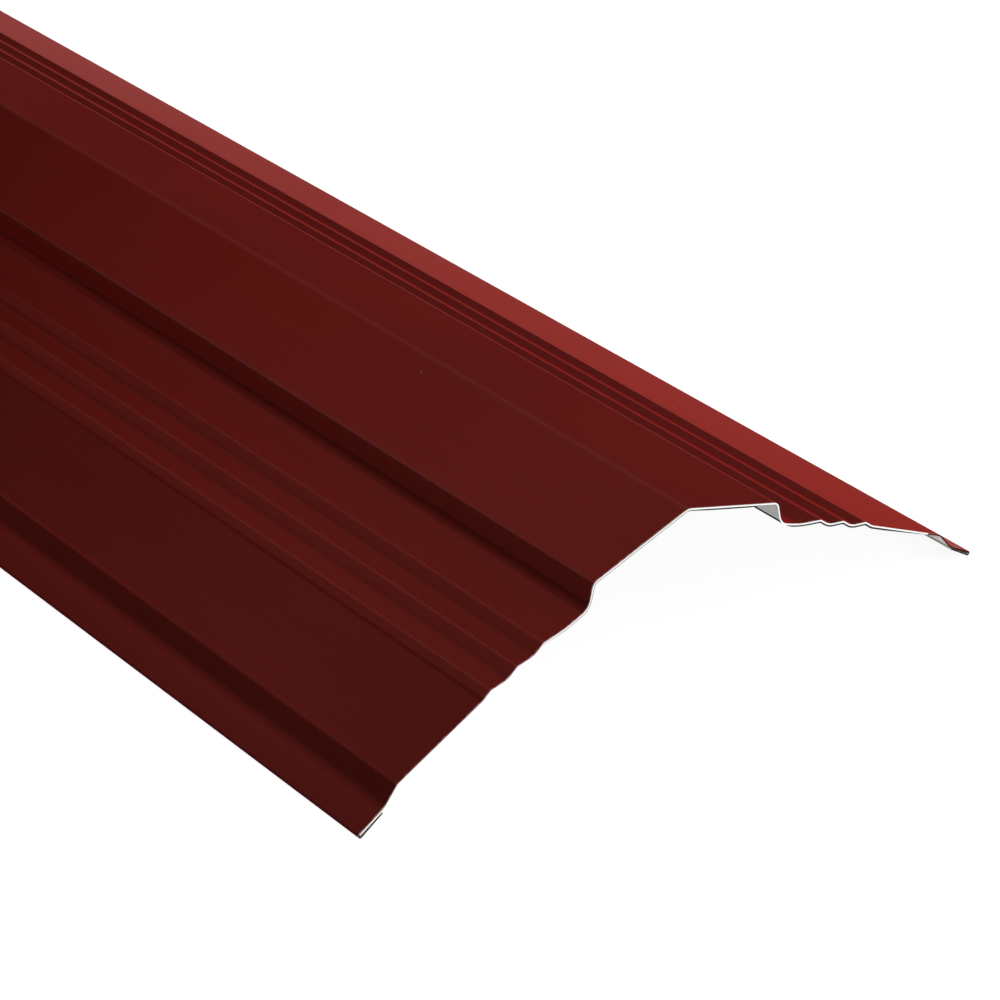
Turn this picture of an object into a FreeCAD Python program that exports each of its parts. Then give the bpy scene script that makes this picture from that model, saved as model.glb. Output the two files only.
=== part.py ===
"""Roof ridge cap: one strip of painted sheet steel, roll-formed to a symmetric roof-shaped section.

Millimetres, +Z up. The length runs along Y. The origin is on the floor under the middle of the cap,
which stands on its two folded lip edges.
"""
import FreeCAD, Part
import Sketcher
import math
import os

NODE = "ridge_cap"

# Driving dimensions, millimetres and degrees
# A run is measured along the top face between the sharp corners of the section.
# A slope is how far that run falls below level, going outwards from the ridge.
# A radius is that of the inside of a bend.
DIMENSIONS = (
    ("cap_length", 2000.0),
    ("sheet_thickness", 0.5),
    ("crown_run", 39.3),
    ("crown_slope", 17.5),
    ("step_run", 8.3),
    ("step_slope", 78.0),
    ("shoulder_foot_run", 8.8),
    ("shoulder_foot_slope", 22.0),
    ("shoulder_run", 9.4),
    ("shoulder_slope", 11.7),
    ("rib_count", 3),
    ("rib_fall_run", 3.7),
    ("rib_fall_slope", 39.5),
    ("rib_foot_run", 2.1),
    ("rib_foot_slope", 24.0),
    ("rib_band_run", 5.4),
    ("rib_band_slope", 10.5),
    ("wing_run", 35.8),
    ("wing_slope", 26.0),
    ("drip_run", 7.9),
    ("drip_slope", 51.0),
    ("lip_run", 11.5),
    ("lip_slope", 30.5),
    ("hem_run", 10.1),
    ("hem_fold_gap", 0.6),
    ("hem_edge_gap", 0.15),
    ("ridge_radius", 4.0),
    ("step_radius", 2.5),
    ("foot_radius", 5.0),
    ("shoulder_radius", 40.0),
    ("crest_radius", 1.5),
    ("valley_radius", 7.0),
    ("drip_radius", 3.5),
    ("lip_radius", 10.0),
)

# A bend takes at most this share of the shorter run beside it, so every run keeps a flat.
BEND_SHARE = 0.45

doc = FreeCAD.newDocument(NODE)


def fill_sheet(name, rows):
    """Make a spreadsheet with one aliased cell for each (alias, content) row."""
    table = doc.addObject("Spreadsheet::Sheet", name)
    for number, (alias, content) in enumerate(rows, start=1):
        table.set(f"A{number}", alias)
        table.set(f"B{number}", str(content))
        table.setAlias(f"B{number}", alias)
    doc.recompute()
    return table


sizes = fill_sheet("Sizes", DIMENSIONS)


def size(alias):
    """Value of one driving dimension."""
    return float(sizes.get(alias))


# The runs of one half, from the ridge outwards, each with the radius of the bend that leads into it
RIB_FALL = ("rib_fall", "crest_radius")
RIB_HOLLOW = (("rib_foot", "valley_radius"), ("rib_band", "valley_radius"))
further_ribs = max(0, round(size("rib_count")) - 1)
RUNS = (
    ("crown", "ridge_radius"),
    ("step", "step_radius"),
    ("shoulder_foot", "foot_radius"),
    ("shoulder", "shoulder_radius"),
    RIB_FALL,
    *(*RIB_HOLLOW, RIB_FALL) * further_ribs,
    ("wing", "valley_radius"),
    ("drip", "drip_radius"),
    ("lip", "lip_radius"),
)
FOLD = len(RUNS)


def bend_rows():
    """Formulas for the radius and setback of every bend, and the length and heading of every flat.

    These radii are those of the top face. A bend that turns downwards has its inside underneath, so
    its top face lies one sheet thickness further out. The last bend folds the hem under the lip.
    """
    rows = []
    for place, (name, radius) in enumerate(RUNS):
        before = RUNS[place - 1][0] if place else name
        slope_before = f"Sizes.{before}_slope" if place else f"(0 - Sizes.{name}_slope)"
        turns_down = place == 0 or size(f"{name}_slope") > size(f"{before}_slope")
        wanted = f"Sizes.{radius} + Sizes.sheet_thickness" if turns_down else f"Sizes.{radius}"
        half_turn = f"tan(abs(Sizes.{name}_slope - {slope_before}) / 2 * 1 deg)"
        room = f"{BEND_SHARE} * min(Sizes.{name}_run; Sizes.{before}_run)"
        rows.append((f"setback_{place}", f"=min(({wanted}) * {half_turn}; {room})"))
        rows.append((f"radius_{place}", f"=setback_{place} / {half_turn}"))
    rows.append((f"radius_{FOLD}", "=Sizes.hem_fold_gap / 2 + Sizes.sheet_thickness"))
    rows.append((f"setback_{FOLD}", f"=radius_{FOLD}"))
    for place, (name, _) in enumerate(RUNS):
        rows.append((f"flat_{place}", f"=Sizes.{name}_run - setback_{place} - setback_{place + 1}"))
        rows.append((f"heading_{place}", f"=0 - Sizes.{name}_slope"))
    closing = f"asin((Sizes.hem_fold_gap - Sizes.hem_edge_gap) / flat_{FOLD}) / 1 deg"
    rows.append((f"flat_{FOLD}", f"=Sizes.hem_run - radius_{FOLD}"))
    rows.append((f"heading_{FOLD}", f"=0 - Sizes.lip_slope - 180 - {closing}"))
    return rows


bends = fill_sheet("Bends", bend_rows())


def bend_value(kind, place):
    """Value of one formula: a radius, a flat or a heading."""
    return float(bends.get(f"{kind}_{place}"))


def unit(angle_deg):
    """Unit vector at an angle in the sketch plane."""
    angle = math.radians(angle_deg)
    return FreeCAD.Vector(math.cos(angle), math.sin(angle), 0)


def bend_arc(start, heading_before, heading_after, radius):
    """Arc that leaves start on one heading and turns to another: its shape, its end and its side."""
    side = 1 if heading_after > heading_before else -1
    centre = start + unit(heading_before + 90 * side) * radius
    from_angle = heading_before - 90 * side
    to_angle = heading_after - 90 * side
    low, high = sorted((math.radians(from_angle), math.radians(to_angle)))
    circle = Part.Circle(centre, FreeCAD.Vector(0, 0, 1), radius)
    return Part.ArcOfCircle(circle, low, high), centre + unit(to_angle) * radius, side


# The top face of one half, drawn as a line of bends and flats across the strip
START, END, CENTRE = range(1, 4)
X_AXIS, Y_AXIS = range(-1, -3, -1)
UPRIGHT = FreeCAD.Rotation(FreeCAD.Vector(1, 0, 0), 90)
line = doc.addObject("Sketcher::SketchObject", "half_section_line")
line.Placement = FreeCAD.Placement(FreeCAD.Vector(), UPRIGHT)


def fix(kind, *geometry):
    """Add one constraint to the sketch."""
    return line.addConstraint(Sketcher.Constraint(kind, *geometry))


def drive(formula, kind, *geometry):
    """Add one dimension to the sketch and bind it to a formula."""
    line.setExpression(f"Constraints[{fix(kind, *geometry)}]", formula)


def draw_half_section():
    """Draw bends and flats in turn, from the ridge to the raw edge inside the hem."""
    drop = sum(size(f"{name}_run") * math.sin(math.radians(size(f"{name}_slope"))) for name, _ in RUNS)
    point = FreeCAD.Vector(0, drop, 0)
    heading = 0.0
    flat = None
    for place in range(FOLD + 1):
        radius = bend_value("radius", place)
        length = bend_value("flat", place)
        next_heading = bend_value("heading", place)
        shape, point, side = bend_arc(point, heading, next_heading, radius)
        bend = line.addGeometry(shape)
        enters, leaves = (START, END) if side > 0 else (END, START)
        if flat is None:
            fix("PointOnObject", bend, CENTRE, Y_AXIS)
            fix("PointOnObject", bend, enters, Y_AXIS)
        else:
            fix("Tangent", flat, END, bend, enters)
        flat_end = point + unit(next_heading) * length
        flat = line.addGeometry(Part.LineSegment(point, flat_end))
        fix("Tangent", bend, leaves, flat, START)
        drive(f"Bends.radius_{place}", "Radius", bend, radius)
        drive(f"Bends.flat_{place}", "Distance", flat, length)
        drive(f"Bends.heading_{place} * 1 deg", "Angle", flat, math.radians(next_heading))
        point, heading = flat_end, next_heading
    drive(f"Bends.radius_{FOLD}", "DistanceY", X_AXIS, START, bend, CENTRE, radius)


draw_half_section()
doc.recompute()

# The sheet's thickness goes on under that line, and the half section runs the length of the cap
half_section = doc.addObject("Part::Offset2D", "half_section")
half_section.Source = line
half_section.Mode = "Skin"
half_section.Join = "Arc"
half_section.Fill = True
half_section.setExpression("Value", "Sizes.sheet_thickness")

half_cap = doc.addObject("Part::Extrusion", "half_cap")
half_cap.Base = half_section
half_cap.DirMode = "Normal"
half_cap.Symmetric = True
half_cap.Solid = True
half_cap.setExpression("LengthFwd", "Sizes.cap_length")

other_half = doc.addObject("Part::Mirroring", "other_half")
other_half.Source = half_cap
other_half.Normal = FreeCAD.Vector(1, 0, 0)

cap = doc.addObject("Part::Fuse", NODE)
cap.Base = half_cap
cap.Tool = other_half
cap.Refine = True
cap.Label = NODE
doc.recompute()

for item in doc.Objects:
    if "Invalid" in item.State or "Error" in item.State:
        raise RuntimeError(f"{item.Name} did not recompute: {item.State}")
if cap.Shape.isNull() or not cap.Shape.isValid() or len(cap.Shape.Solids) != 1:
    raise RuntimeError("the cap is not one valid solid")

os.makedirs("parts", exist_ok=True)
cap.Shape.exportStep(f"parts/{NODE}.step")
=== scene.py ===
"""Looks of the roof ridge cap: painted top, grey back coat, bare cut edges, studio floor and light."""
import math

import bpy
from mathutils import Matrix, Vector


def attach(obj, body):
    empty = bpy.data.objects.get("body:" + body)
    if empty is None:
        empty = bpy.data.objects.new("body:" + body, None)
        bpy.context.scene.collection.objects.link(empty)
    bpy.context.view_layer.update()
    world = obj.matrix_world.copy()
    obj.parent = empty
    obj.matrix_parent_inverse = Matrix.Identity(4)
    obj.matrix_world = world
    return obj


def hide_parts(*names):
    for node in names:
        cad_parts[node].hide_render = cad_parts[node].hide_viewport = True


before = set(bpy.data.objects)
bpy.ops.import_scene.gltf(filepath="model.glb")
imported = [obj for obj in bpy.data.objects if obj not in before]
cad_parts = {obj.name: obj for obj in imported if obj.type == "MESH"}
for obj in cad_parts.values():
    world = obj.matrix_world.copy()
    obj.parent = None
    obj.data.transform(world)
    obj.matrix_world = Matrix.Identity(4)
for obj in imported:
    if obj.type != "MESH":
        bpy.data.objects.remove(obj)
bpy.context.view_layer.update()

scene = bpy.context.scene
MM = 0.001

# Section of the sheet in mm and degrees, as in the part's source
# A row gives the run and slope of a flat, the inside radius of the bend before it, and from 0 to 1 how
# worn and shaded that bend is: its paint is lighter on a crest, as wear and painted highlight, and darker
# in a hollow, as painted shade.
SHEET = 0.5
LENGTH = 2000.0
CROWN = (39.3, 17.5, 4.0, 1.0)
STEP = (8.3, 78.0, 2.5, 0.4)
SHOULDER_FOOT = (8.8, 22.0, 5.0, 0.5)
SHOULDER = (9.4, 11.7, 40.0, 0.1)
RIB_FALL = (3.7, 39.5, 1.5, 0.45)
RIB_HOLLOW = ((2.1, 24.0, 7.0, 0.2), (5.4, 10.5, 7.0, 0.1))
FURTHER_RIBS = 2
WING = (35.8, 26.0, 7.0, 0.7)
DRIP = (7.9, 51.0, 3.5, 0.0)
LIP = (11.5, 30.5, 10.0, 0.2)
RUNS = (
    CROWN,
    STEP,
    SHOULDER_FOOT,
    SHOULDER,
    RIB_FALL,
    *(*RIB_HOLLOW, RIB_FALL) * FURTHER_RIBS,
    WING,
    DRIP,
    LIP,
)
HEM = len(RUNS)
HEM_RUN = 10.1
HEM_FOLD_GAP = 0.6
HEM_EDGE_GAP = 0.15
HEM_WEAR_AND_SHADING = 0.3
BEND_SHARE = 0.45

# How finely the section and the length are divided
BEND_STEP_DEG = 5.0
FLAT_STEP = 6.0
STATION_STEP = 40.0

# Burr that the shear leaves under both cut ends, dark partly as painted shade under the cut edge, in mm:
# places across the cap with how far it hangs down there, and the length over which it starts
BURR_AND_SHADE_DROPS = (
    (-126.0, 0.45),
    (-118.0, 0.1),
    (-116.0, 0.0),
    (-60.0, 0.0),
    (-50.0, 0.22),
    (0.0, 0.25),
    (8.0, 0.5),
    (27.0, 0.5),
    (29.0, 0.0),
    (41.0, 0.0),
    (43.0, 0.5),
    (85.0, 0.6),
    (104.0, 0.15),
)
BURR_REACH = 1.5

# Place across the cap, in mm, from which the paint has run over the near end's cut edge
PAINT_RUN_FROM = 102.0

# Material slots of the mesh
PAINTED, BACK, BARE, TORN_AND_SHADE = range(4)


def bends_and_flats():
    """(radius of the top face, flat length, slope, wear and shading) of each run, the hem last."""
    setbacks, radii = [], []
    for place, (run, slope, inside, _) in enumerate(RUNS):
        run_before, slope_before = RUNS[place - 1][:2] if place else (run, -slope)
        half_turn = math.tan(math.radians(abs(slope - slope_before)) / 2)
        top_radius = inside + SHEET if slope > slope_before else inside
        setback = min(top_radius * half_turn, BEND_SHARE * min(run, run_before))
        setbacks.append(setback)
        radii.append(setback / half_turn)
    fold = HEM_FOLD_GAP / 2 + SHEET
    setbacks.append(fold)
    rows = []
    for place, (run, slope, _, wear_and_shading) in enumerate(RUNS):
        rows.append((radii[place], run - setbacks[place] - setbacks[place + 1], slope, wear_and_shading))
    hem_flat = HEM_RUN - fold
    closing = math.degrees(math.asin((HEM_FOLD_GAP - HEM_EDGE_GAP) / hem_flat))
    rows.append((fold, hem_flat, RUNS[-1][1] + 180 + closing, HEM_WEAR_AND_SHADING))
    return rows


def half_section():
    """Points of the top face from the ridge to the raw edge: place, normal, wear and shading, and number
    of the run.

    It is above 0 on a crest (wear and painted highlight), below 0 in a hollow (painted shade), 0 on a
    flat.
    """
    x, z, slope = 0.0, 0.0, 0.0
    points = [((x, z), (0.0, 1.0), RUNS[0][3], 0)]
    lowest = 0.0

    def step(length, at_slope, normal_slope, wear_and_shading, run):
        """Go on by one piece of the line and note its end."""
        nonlocal x, z, lowest
        x += length * math.cos(math.radians(at_slope))
        z -= length * math.sin(math.radians(at_slope))
        lowest = min(lowest, z)
        normal = (math.sin(math.radians(normal_slope)), math.cos(math.radians(normal_slope)))
        points.append(((x, z), normal, wear_and_shading, run))

    for run, (radius, flat, next_slope, wear_and_shading) in enumerate(bends_and_flats()):
        turn = next_slope - slope
        parts = max(2, math.ceil(abs(turn) / BEND_STEP_DEG))
        chord = 2 * radius * math.sin(math.radians(abs(turn) / parts) / 2)
        # The ridge's bend starts at its middle, because the other half has the rest of it.
        middle = 0.5 if slope else 0.0
        reach = 1.0 - middle
        for part in range(1, parts + 1):
            bend_wear_and_shading = wear_and_shading * math.cos(math.pi / 2 * (part / parts - middle) / reach)
            step(chord, slope + turn / parts / 2, slope + turn / parts, math.copysign(bend_wear_and_shading, turn), run)
            slope += turn / parts
        parts = max(1, math.ceil(flat / FLAT_STEP))
        for _ in range(parts):
            step(flat / parts, slope, slope, 0.0, run)
    return [((px, pz - lowest), normal, wear_and_shading, run) for (px, pz), normal, wear_and_shading, run in points]


def whole_section():
    """Points of the top face across the whole cap, from the left raw edge to the right one."""
    right = half_section()
    left = [((-px, pz), (-nx, nz), wear_and_shading, run) for (px, pz), (nx, nz), wear_and_shading, run in right[1:]]
    return left[::-1] + right


def stations():
    """Places along the length in mm, with one close to each end for the burr."""
    half = LENGTH / 2
    count = round(LENGTH / STATION_STEP)
    inner = [LENGTH * (place / count - 0.5) for place in range(1, count)]
    return [-half, BURR_REACH - half, *inner, half - BURR_REACH, half]


def burr_and_shade_drop(x):
    """How far the burr hangs down at a place across the cap, where it is dark partly as painted shade."""
    for (start, first), (end, last) in zip(BURR_AND_SHADE_DROPS, BURR_AND_SHADE_DROPS[1:]):
        if start <= x < end:
            return first + (last - first) * (x - start) / (end - start)
    return 0.0


def end_slot(run, x, facing):
    """Slot of a cut end: torn and dark partly as painted shade on the hems, painted on the near end's
    right lip, bare metal elsewhere.
    """
    if run == HEM:
        return TORN_AND_SHADE
    return PAINTED if x > PAINT_RUN_FROM and facing < 0 else BARE


def build_cap():
    """The whole cap as one closed mesh with smooth bends, square cut ends and a burr under them, dark
    partly as painted shade.
    """
    top = whole_section()
    width = len(top)
    count = 2 * width
    rows = stations()
    last_row = len(rows) - 1
    burr_and_shade = [burr_and_shade_drop(x) if run < HEM else 0.0 for (x, _), _, _, run in top]
    ring = [(nx, 0.0, nz) for _, (nx, nz), _, _ in top]
    ring += [(-nx, 0.0, -nz) for nx, _, nz in ring[::-1]]
    verts, wear_and_shading_values = [], []
    faces, normals, slots = [], [], []

    def add_points(y, points, depths):
        """Corners at a place along the length, each at its depth under the top face."""
        for ((px, pz), (nx, nz), wear_and_shading, _), depth in zip(points, depths):
            verts.append(((px - nx * depth) * MM, y * MM, (pz - nz * depth) * MM))
            wear_and_shading_values.append(wear_and_shading if depth == 0 else -wear_and_shading)

    def add_face(corners, corner_normals, slot):
        """One face, with the normal at each of its corners."""
        faces.append(corners)
        normals.extend(corner_normals)
        slots.append(slot)

    def add_skin(row):
        """Top, underside and raw edges between one station and the next."""
        base = row * count
        for place in range(count):
            after = (place + 1) % count
            corners = (base + place, base + after, base + count + after, base + count + place)
            first, second = ring[place], ring[after]
            if place in (width - 1, count - 1):
                nx, _, nz = first
                add_face(corners, [(nz, 0.0, -nx)] * 4, BARE)
            else:
                add_face(corners, [first, second, second, first], PAINTED if place < width - 1 else BACK)

    def add_cut_end(row, facing):
        """The sheet's thickness at one end, with the burr, dark partly as painted shade, as a strip of its
        own under it.
        """
        upper = [row * count + place for place in range(width)]
        under = [row * count + count - 1 - place for place in range(width)]
        middle = list(under)
        for place in range(width):
            if burr_and_shade[place]:
                middle[place] = len(verts)
                add_points(rows[row], [top[place]], [SHEET])
        for place in range(width - 1):
            (x, _), _, _, run = max(top[place], top[place + 1], key=lambda point: point[3])
            for high, low, slot in ((upper, middle, end_slot(run, x, facing)), (middle, under, TORN_AND_SHADE)):
                quad = [high[place], low[place], low[place + 1], high[place + 1]]
                corners = tuple(dict.fromkeys(quad[::-facing]))
                if len(corners) > 2:
                    add_face(corners, [(0, facing, 0)] * len(corners), slot)

    for row, y in enumerate(rows):
        hang = burr_and_shade if row in (0, last_row) else [0.0] * width
        add_points(y, top, [0.0] * width)
        add_points(y, top[::-1], [SHEET + drop for drop in hang[::-1]])
    for row in range(last_row):
        add_skin(row)
    add_cut_end(0, -1)
    add_cut_end(last_row, 1)

    mesh = bpy.data.meshes.new("ridge_cap_sheet")
    mesh.from_pydata(verts, [], faces)
    for polygon, slot in zip(mesh.polygons, slots):
        polygon.material_index = slot
        polygon.use_smooth = True
    mesh.normals_split_custom_set(normals)
    mesh.attributes.new("wear_and_shading", "FLOAT", "POINT").data.foreach_set("value", wear_and_shading_values)
    piece = bpy.data.objects.new("ridge_cap_sheet", mesh)
    scene.collection.objects.link(piece)
    return piece


def set_inputs(tree, node, inputs):
    """Plain values and links on a node's own sockets."""
    for key, value in inputs.items():
        if isinstance(value, bpy.types.NodeSocket):
            tree.links.new(value, node.inputs[key])
        else:
            node.inputs[key].default_value = value


def add_node(tree, kind, inputs, **settings):
    """A shader node; each input is a plain value or the output of another node."""
    node = tree.nodes.new("ShaderNode" + kind)
    for name, value in settings.items():
        setattr(node, name, value)
    set_inputs(tree, node, inputs)
    return node


def maths(tree, operation, first, second=0.0):
    """One sum on two values."""
    return add_node(tree, "Math", {0: first, 1: second}, operation=operation).outputs[0]


def weighted(tree, *terms):
    """Sum of values, each times its weight."""
    whole = 0.0
    for value, weight in terms:
        whole = maths(tree, "ADD", whole, maths(tree, "MULTIPLY", value, weight))
    return whole


def spread(tree, value, span, levels=(0.0, 1.0)):
    """A value that goes from the first level to the second as the given one goes over its span."""
    return add_node(tree, "MapRange", dict(enumerate((value, *span, *levels)))).outputs[0]


def noise(tree, place, size, stretch=1, detail=2.0):
    """Noise from 0 to 1 in features about size metres across, so many times longer along the cap."""
    scale = (1 / size, 1 / (size * stretch), 1 / size)
    spot = add_node(tree, "Mapping", {"Vector": place, "Scale": scale}).outputs[0]
    return add_node(tree, "TexNoise", {"Vector": spot, "Scale": 1.0, "Detail": detail}).outputs["Fac"]


# Share of a speck's radius inside which it is full
SPECK_CORE = 0.7


def specks(tree, place, spacing, radius):
    """1 inside small scattered dots, 0 elsewhere."""
    dots = add_node(tree, "TexVoronoi", {"Vector": place, "Scale": 1 / spacing})
    edge = radius / spacing
    return spread(tree, dots.outputs["Distance"], (SPECK_CORE * edge, edge), (1.0, 0.0))


def relief(tree, height, depth):
    """Normal of a surface with fine relief of a depth in metres."""
    return add_node(tree, "Bump", {"Height": height, "Distance": depth, "Strength": 1.0}).outputs[0]


def mesh_wear_and_shading(tree):
    """The mesh's wear and shading: positive on crests, with painted highlight, and negative in hollows,
    with painted shade.
    """
    return add_node(tree, "Attribute", {}, attribute_name="wear_and_shading").outputs["Fac"]


def shade(colour, times, lift=0.0):
    """A lighter or darker version of a colour."""
    return (*(part * times + lift for part in colour), 1.0)


def blend(tree, share, first, second):
    """Two colours mixed by a share."""
    return add_node(tree, "Mix", {0: share, 6: first, 7: second}, data_type="RGBA").outputs[2]


def mottled(tree, share, colour, shades):
    """A colour that goes from one shade of itself to another."""
    first, second = shades
    return blend(tree, share, shade(colour, first), shade(colour, second))


def layered(tree, colour, *layers):
    """A colour with others laid over it in turn, each (share, colour)."""
    for share, over in layers:
        colour = blend(tree, share, colour, over)
    return colour


def new_material(name):
    """A node material, its tree, its shader, and the place on the object in metres."""
    made = bpy.data.materials.new(name)
    made.use_nodes = True
    tree = made.node_tree
    place = add_node(tree, "TexCoord", {}).outputs["Object"]
    return made, tree, tree.nodes["Principled BSDF"], place


# Where one noise mostly lies, and where a sum of noises does
NOISE_SPAN = (0.3, 0.7)
TONE_SPAN = (0.35, 0.65)

# Paint: its colour where it is clean; on a worn crest, lighter as wear and painted highlight; in a hollow
# and on a steep face, darker as painted shade; and darker near the floor
PAINT = (0.122, 0.0145, 0.0115)
PAINT_MOTTLE = (0.93, 1.07)
WORN_AND_HIGHLIT_PAINT = shade(PAINT, 1.7, 0.010)
HOLLOW_SHADE_PAINT = shade(PAINT, 0.60)
STEEP_SHADE_PAINT = shade(PAINT, 0.82)
LOW_DARKER_PAINT = shade(PAINT, 0.45)
DUST = (0.42, 0.36, 0.33, 1.0)
PRIMER = (0.50, 0.40, 0.38, 1.0)

# Patterns of the paint: sizes and depth of relief in metres, and how many times longer a roller's line is
PAINT_CLOUD = 0.09
PAINT_LINE = 0.0035
PAINT_LINE_STRETCH = 140
PAINT_GRAIN = 0.0006
ORANGE_PEEL = 0.0018
PAINT_RELIEF = 6e-6

# Shine of the paint: roughness, metal flakes on most faces and on steep ones, and the tints at low angles
PAINT_ROUGHNESS = (0.17, 0.21)
FLAKES = (0.42, 0.22)
FLAKE_TINT = (1.0, 0.23, 0.21, 1.0)
SHEEN = 0.25
SHEEN_ROUGHNESS = 0.35
SHEEN_TINT = (1.0, 0.12, 0.10, 1.0)

# Upward part of a face's normal under which it is fully steep, and over which it is not steep
STEEP_SPAN = (0.25, 0.5)

# The lightened crests and the darker paint near the floor vary between these shares of their strength.
PATCHY = (0.8, 1.0)

# Darker paint near the floor: the heights in metres between which it ends, and its strength
LOW_DARKER_HEIGHTS = (0.003, 0.008)
LOW_DARKER_SHARE = 0.30

# Dust specks: spacing and radius in metres, strength, and how much rougher they and the hollows are
DUST_SPACING = 0.022
DUST_RADIUS = 0.0004
DUST_SHARE = 0.35
DULLED = 0.4

# Chipped paint at the cut: depth from the end and size of a chip in metres, its soft rim as a share of the
# depth, how much primer shows, and how much a face looks along the cap where it counts as the end's own
CHIP_DEPTH = 0.0009
CHIP_SIZE = 0.0016
CHIP_RIM = 0.1
CHIP_SHARE = 0.8
END_ON_SPAN = (0.5, 0.9)


def chipped_paint(tree, place, along, end_on):
    """Share of primer beside the cut ends, but none on the ends' own faces."""
    from_end = maths(tree, "SUBTRACT", LENGTH / 2 * MM, maths(tree, "ABSOLUTE", along))
    ragged = maths(tree, "MULTIPLY", noise(tree, place, CHIP_SIZE, detail=3.0), CHIP_DEPTH)
    inside = maths(tree, "SUBTRACT", ragged, from_end)
    chipped = spread(tree, inside, (0.0, CHIP_RIM * CHIP_DEPTH), (0.0, CHIP_SHARE))
    beside = spread(tree, maths(tree, "ABSOLUTE", end_on), END_ON_SPAN, (1.0, 0.0))
    return maths(tree, "MULTIPLY", chipped, beside)


def paint_coat():
    """Satin brown-red coating: mottling, roller lines, orange peel, painted highlight on worn crests,
    painted shade in hollows and on steep faces, darker low down, dust, chips.
    """
    made, tree, shader, place = new_material("brown_red_paint")
    where = add_node(tree, "SeparateXYZ", {0: place})
    facing = add_node(tree, "SeparateXYZ", {0: add_node(tree, "TexCoord", {}).outputs["Normal"]})
    cloud = noise(tree, place, PAINT_CLOUD, detail=3.0)
    rolled = noise(tree, place, PAINT_LINE, PAINT_LINE_STRETCH, detail=3.0)
    grain = noise(tree, place, PAINT_GRAIN)
    peel = noise(tree, place, ORANGE_PEEL, detail=1.0)
    dust = specks(tree, place, DUST_SPACING, DUST_RADIUS)

    wear_and_shading = mesh_wear_and_shading(tree)
    streaks = spread(tree, rolled, NOISE_SPAN, PATCHY)
    # Crests: lighter paint, partly wear and partly painted highlight
    crest = maths(tree, "MULTIPLY", maths(tree, "MAXIMUM", wear_and_shading, 0.0), streaks)
    # Hollows: darker paint as painted shade, and duller
    hollow = maths(tree, "MAXIMUM", maths(tree, "MULTIPLY", wear_and_shading, -1.0), 0.0)
    # Steep faces: darker paint as painted shade, and fewer metal flakes
    steep = spread(tree, facing.outputs["Z"], STEEP_SPAN, (1.0, 0.0))
    # Darker paint towards the floor
    low = spread(tree, where.outputs["Z"], LOW_DARKER_HEIGHTS, (LOW_DARKER_SHARE, 0.0))
    darkening = maths(tree, "MULTIPLY", low, spread(tree, cloud, NOISE_SPAN, PATCHY))
    chipped = chipped_paint(tree, place, where.outputs["Y"], facing.outputs["Y"])

    tone = weighted(tree, (cloud, 0.5), (rolled, 0.25), (grain, 0.25))
    colour = layered(
        tree,
        mottled(tree, spread(tree, tone, TONE_SPAN), PAINT, PAINT_MOTTLE),
        (crest, WORN_AND_HIGHLIT_PAINT),
        (hollow, HOLLOW_SHADE_PAINT),
        (steep, STEEP_SHADE_PAINT),
        (darkening, LOW_DARKER_PAINT),
        (maths(tree, "MULTIPLY", dust, DUST_SHARE), DUST),
        (chipped, PRIMER),
    )
    satin = spread(tree, cloud, NOISE_SPAN, PAINT_ROUGHNESS)
    height = weighted(tree, (peel, 1.0), (rolled, 0.6), (dust, 4.0))
    set_inputs(tree, shader, {
        "Base Color": colour,
        "Roughness": weighted(tree, (satin, 1.0), (hollow, DULLED), (dust, DULLED)),
        "Normal": relief(tree, height, PAINT_RELIEF),
        "Metallic": spread(tree, steep, (0.0, 1.0), FLAKES),
        "Specular IOR Level": 0.0,
        "Specular Tint": FLAKE_TINT,
        "Sheen Weight": SHEEN,
        "Sheen Roughness": SHEEN_ROUGHNESS,
        "Sheen Tint": SHEEN_TINT,
    })
    return made


# Back coat: its colour, and that of scuffs, of the painted shade on its bends and of specks on it
BACK_COAT = (0.78, 0.77, 0.75)
BACK_MOTTLE = (0.86, 1.08)
BACK_SCUFF = shade(BACK_COAT, 0.55)
BACK_BEND_SHADE = shade(BACK_COAT, 0.04)
BACK_SPECK = shade(BACK_COAT, 0.3)

# Patterns of the back coat: sizes and depth of relief in metres, and how many times longer the lines are
BACK_CLOUD = 0.06
BACK_LINE = 0.003
BACK_LINE_STRETCH = 90
BACK_GRAIN = 0.0009
SCUFF_LINE = 0.0012
SCUFF_STRETCH = 45
BACK_RELIEF = 1e-5

# Scuffs by the noise that makes them, the painted shade by a bend's wear and shading value, and specks by
# spacing and radius in metres, each with its strength
SCUFF_SPAN = (0.66, 0.74)
SCUFF_SHARE = 0.35
BACK_BEND_SHADE_SPAN = (0.27, 0.35)
BACK_BEND_SHADE_SHARE = 0.95
BACK_SPECK_SPACING = 0.018
BACK_SPECK_RADIUS = 0.0007
BACK_SPECK_SHARE = 0.7

# Shine of the back coat, which the bends with painted shade lack
BACK_ROUGHNESS = (0.30, 0.42)
BACK_METALLIC = 0.10
BACK_SPECULAR = 0.45


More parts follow.
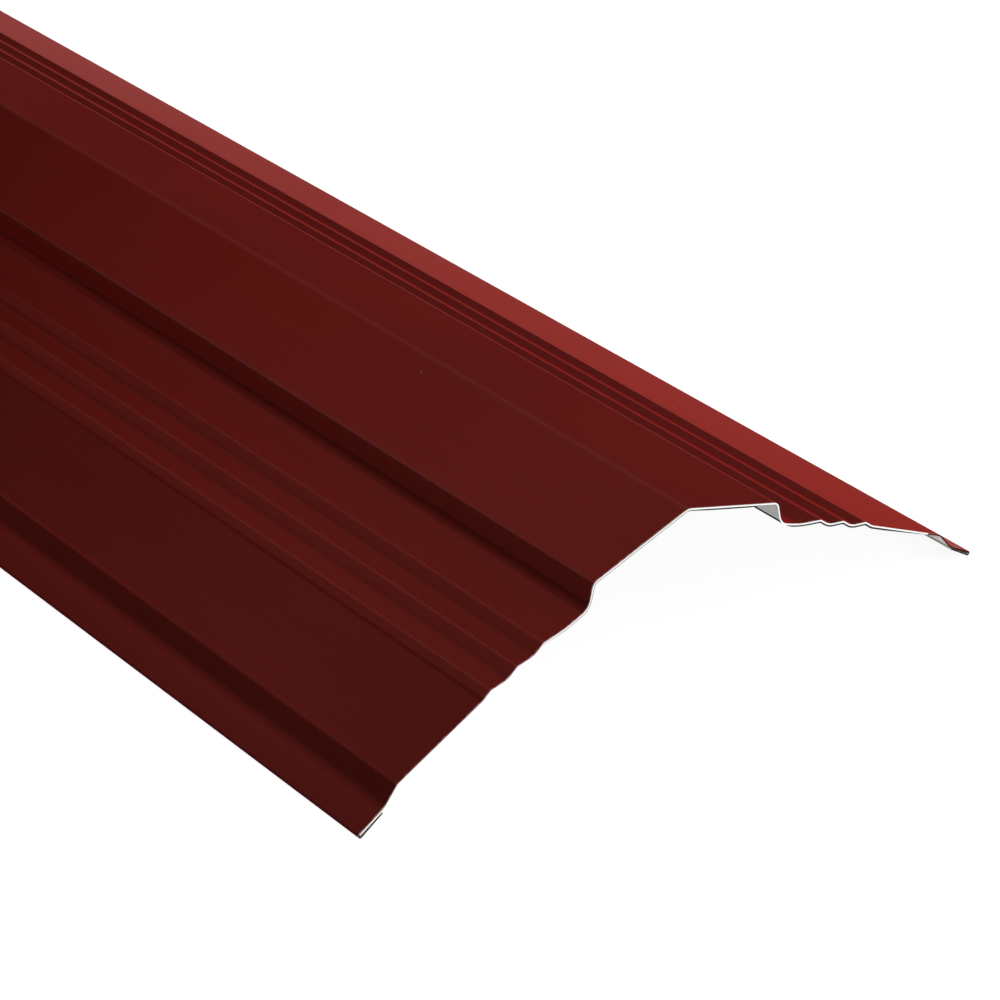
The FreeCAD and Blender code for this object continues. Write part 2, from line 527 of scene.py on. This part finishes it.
def back_coat():
    """Thin light grey coating of the underside: uneven film, roller lines, scuffs, painted shade on the
    bends, specks.
    """
    made, tree, shader, place = new_material("grey_back_coat")
    cloud = noise(tree, place, BACK_CLOUD, detail=4.0)
    rolled = noise(tree, place, BACK_LINE, BACK_LINE_STRETCH, detail=3.0)
    grain = noise(tree, place, BACK_GRAIN)
    scratch = noise(tree, place, SCUFF_LINE, SCUFF_STRETCH, detail=1.0)
    scuff = spread(tree, scratch, SCUFF_SPAN, (0.0, SCUFF_SHARE))
    bend = maths(tree, "ABSOLUTE", mesh_wear_and_shading(tree))
    # Painted shade: near-black, matt bands along the middle of the bends
    darkening = spread(tree, bend, BACK_BEND_SHADE_SPAN, (0.0, BACK_BEND_SHADE_SHARE))
    dirt = specks(tree, place, BACK_SPECK_SPACING, BACK_SPECK_RADIUS)
    tone = weighted(tree, (cloud, 0.45), (rolled, 0.35), (grain, 0.2))
    colour = layered(
        tree,
        mottled(tree, spread(tree, tone, TONE_SPAN), BACK_COAT, BACK_MOTTLE),
        (scuff, BACK_SCUFF),
        (darkening, BACK_BEND_SHADE),
        (maths(tree, "MULTIPLY", dirt, BACK_SPECK_SHARE), BACK_SPECK),
    )
    set_inputs(tree, shader, {
        "Base Color": colour,
        "Roughness": spread(tree, tone, TONE_SPAN, BACK_ROUGHNESS),
        "Normal": relief(tree, maths(tree, "ADD", grain, rolled), BACK_RELIEF),
        "Metallic": spread(tree, darkening, (0.0, BACK_BEND_SHADE_SHARE), (BACK_METALLIC, 0.0)),
        "Specular IOR Level": spread(tree, darkening, (0.0, BACK_BEND_SHADE_SHARE), (BACK_SPECULAR, 0.0)),
    })
    return made


# Bare cut edge: its colour, the sizes of its patterns and the depth of its relief in metres, and its shine
ZINC = (0.97, 0.96, 0.95)
ZINC_MOTTLE = (0.94, 1.02)
ZINC_PATCH = 0.006
SHEAR_MARK = 0.00025
SHEAR_RELIEF = 1.5e-5
ZINC_ROUGHNESS = (0.18, 0.10)


def bare_edge():
    """Sheared steel and zinc of the cut edges: bright and dull patches with fine shear marks."""
    made, tree, shader, place = new_material("bare_cut_edge")
    patch = noise(tree, place, ZINC_PATCH, detail=3.0)
    marks = noise(tree, place, SHEAR_MARK, detail=2.0)
    tone = weighted(tree, (patch, 0.6), (marks, 0.4))
    set_inputs(tree, shader, {
        "Base Color": mottled(tree, spread(tree, tone, TONE_SPAN), ZINC, ZINC_MOTTLE),
        "Roughness": spread(tree, tone, TONE_SPAN, ZINC_ROUGHNESS),
        "Normal": relief(tree, marks, SHEAR_RELIEF),
        "Metallic": 1.0,
    })
    return made


# Torn cut edge, dark partly as painted shade: its colour, its grain and painted glints by size in metres,
# and its shine
TORN_STEEL_AND_SHADE = (0.030, 0.026, 0.024)
TORN_MOTTLE = (0.5, 1.6)
TORN_GLINT = shade(TORN_STEEL_AND_SHADE, 6.0)
TORN_GRAIN = 0.0004
TORN_RELIEF = 4e-5
GLINT_SIZE = 0.0009
GLINT_SPAN = (0.62, 0.72)
GLINT_SHARE = 0.4
TORN_ROUGHNESS = (0.85, 0.6)
TORN_SPECULAR = 0.2


def torn_edge_and_shade():
    """Dark broken steel of the burr and of the hems' ends, partly painted shade: coarse grains and a few
    painted glints.
    """
    made, tree, shader, place = new_material("torn_cut_edge_and_shade")
    grain = noise(tree, place, TORN_GRAIN, detail=3.0)
    # Painted glints: a few points of the colour made much lighter
    glint = spread(tree, noise(tree, place, GLINT_SIZE, detail=1.0), GLINT_SPAN, (0.0, GLINT_SHARE))
    colour = mottled(tree, grain, TORN_STEEL_AND_SHADE, TORN_MOTTLE)
    set_inputs(tree, shader, {
        "Base Color": blend(tree, glint, colour, TORN_GLINT),
        "Roughness": spread(tree, grain, NOISE_SPAN, TORN_ROUGHNESS),
        "Normal": relief(tree, grain, TORN_RELIEF),
        "Specular IOR Level": TORN_SPECULAR,
    })
    return made


cap = build_cap()
for coat in (paint_coat(), back_coat(), bare_edge(), torn_edge_and_shade()):
    cap.data.materials.append(coat)
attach(cap, "root")
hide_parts("ridge_cap")

# Camera, solved from the photograph's bend lines and cut end
# It has no roll, and its focal length is in pixels of the picture.
CAMERA_PLACE = (-0.6228, -1.6746, 0.6052)
HEADING_DEG = 39.164
PITCH_DEG = 30.396
FOCAL_PIXELS = 3534.3
PICTURE_PIXELS = 1000
SENSOR = 36.0
camera_data = bpy.data.cameras.new("camera")
camera_data.sensor_width = SENSOR
camera_data.lens = SENSOR * FOCAL_PIXELS / PICTURE_PIXELS
camera = bpy.data.objects.new("camera", camera_data)
camera.location = CAMERA_PLACE
camera.rotation_euler = (math.radians(90 - PITCH_DEG), 0.0, math.radians(-HEADING_DEG))
scene.collection.objects.link(camera)
scene.camera = camera

# Pale floor: white to the eye and in reflections, with a faint shadow, and plainly matt to other light
FLOOR_SIZE = 120.0
FLOOR_GLOW = 0.93
FLOOR_SHADOWED = (0.2, 0.2, 0.2, 1.0)
FLOOR_MATT = (0.8, 0.8, 0.8, 1.0)
bpy.ops.mesh.primitive_plane_add(size=FLOOR_SIZE, location=(0, 0, 0))
floor = bpy.context.object
floor.name = "floor"
floor_material, floor_tree, plain_shader, _ = new_material("floor")
floor_tree.nodes.remove(plain_shader)
path = add_node(floor_tree, "LightPath", {})
seen = maths(floor_tree, "MAXIMUM", path.outputs["Is Camera Ray"], path.outputs["Is Glossy Ray"])
seen = maths(floor_tree, "MAXIMUM", seen, path.outputs["Is Transmission Ray"])
matt = add_node(floor_tree, "BsdfDiffuse", {"Color": FLOOR_MATT})
shadowed = add_node(floor_tree, "BsdfDiffuse", {"Color": FLOOR_SHADOWED})
glow = add_node(floor_tree, "Emission", {"Strength": FLOOR_GLOW})
white = add_node(floor_tree, "AddShader", {0: shadowed.outputs[0], 1: glow.outputs[0]})
surface = add_node(floor_tree, "MixShader", {0: seen, 1: matt.outputs[0], 2: white.outputs[0]})
floor_tree.links.new(surface.outputs[0], floor_tree.nodes["Material Output"].inputs["Surface"])
floor.data.materials.append(floor_material)

# Soft studio light: a dim even room, and softboxes
# A softbox has its place, the point it faces, its size in metres, its power in watts and its spread in
# degrees.
ROOM_LIGHT = 0.10
OPEN = 180
SOFTBOXES = {
    "near_end": ((0.46, -1.26, 0.49), (0.0, -0.8, 0.03), 0.9, 4.8, OPEN),
    "far_end": ((-0.46, 1.26, 0.49), (0.0, 0.8, 0.03), 0.9, 4.8, OPEN),
    "overhead": ((0.0, 0.4, 1.6), (0.0, 0.4, 0.0), 1.4, 2.1, OPEN),
    "back_left": ((-0.85, 0.50, 1.24), (0.0, -0.85, 0.04), 0.8, 1.3, OPEN),
    "back_middle": ((0.25, 0.54, 1.45), (0.0, -0.85, 0.04), 0.8, 1.0, OPEN),
    "front_down": ((0.0, -1.05, 1.3), (0.0, -1.05, 0.0), 0.6, 0.54, 60),
    "middle_down": ((0.0, 0.15, 1.3), (0.0, 0.15, 0.0), 0.6, 1.4, 45),
    "far_down": ((0.0, 0.65, 1.3), (0.0, 0.65, 0.0), 0.6, 1.0, 60),
}
world = bpy.data.worlds.new("studio")
world.use_nodes = True
background = world.node_tree.nodes["Background"]
background.inputs["Color"].default_value = (1, 1, 1, 1)
background.inputs["Strength"].default_value = ROOM_LIGHT
scene.world = world
for name, (spot, faces, size, power, fan) in SOFTBOXES.items():
    lamp_data = bpy.data.lights.new(name, "AREA")
    lamp_data.shape = "SQUARE"
    lamp_data.size = size
    lamp_data.energy = power
    lamp_data.spread = math.radians(fan)
    lamp = bpy.data.objects.new(name, lamp_data)
    lamp.location = spot
    lamp.rotation_euler = (Vector(faces) - Vector(spot)).to_track_quat("-Z", "Y").to_euler()
    lamp.visible_camera = False
    scene.collection.objects.link(lamp)
scene.view_settings.view_transform = "Standard"
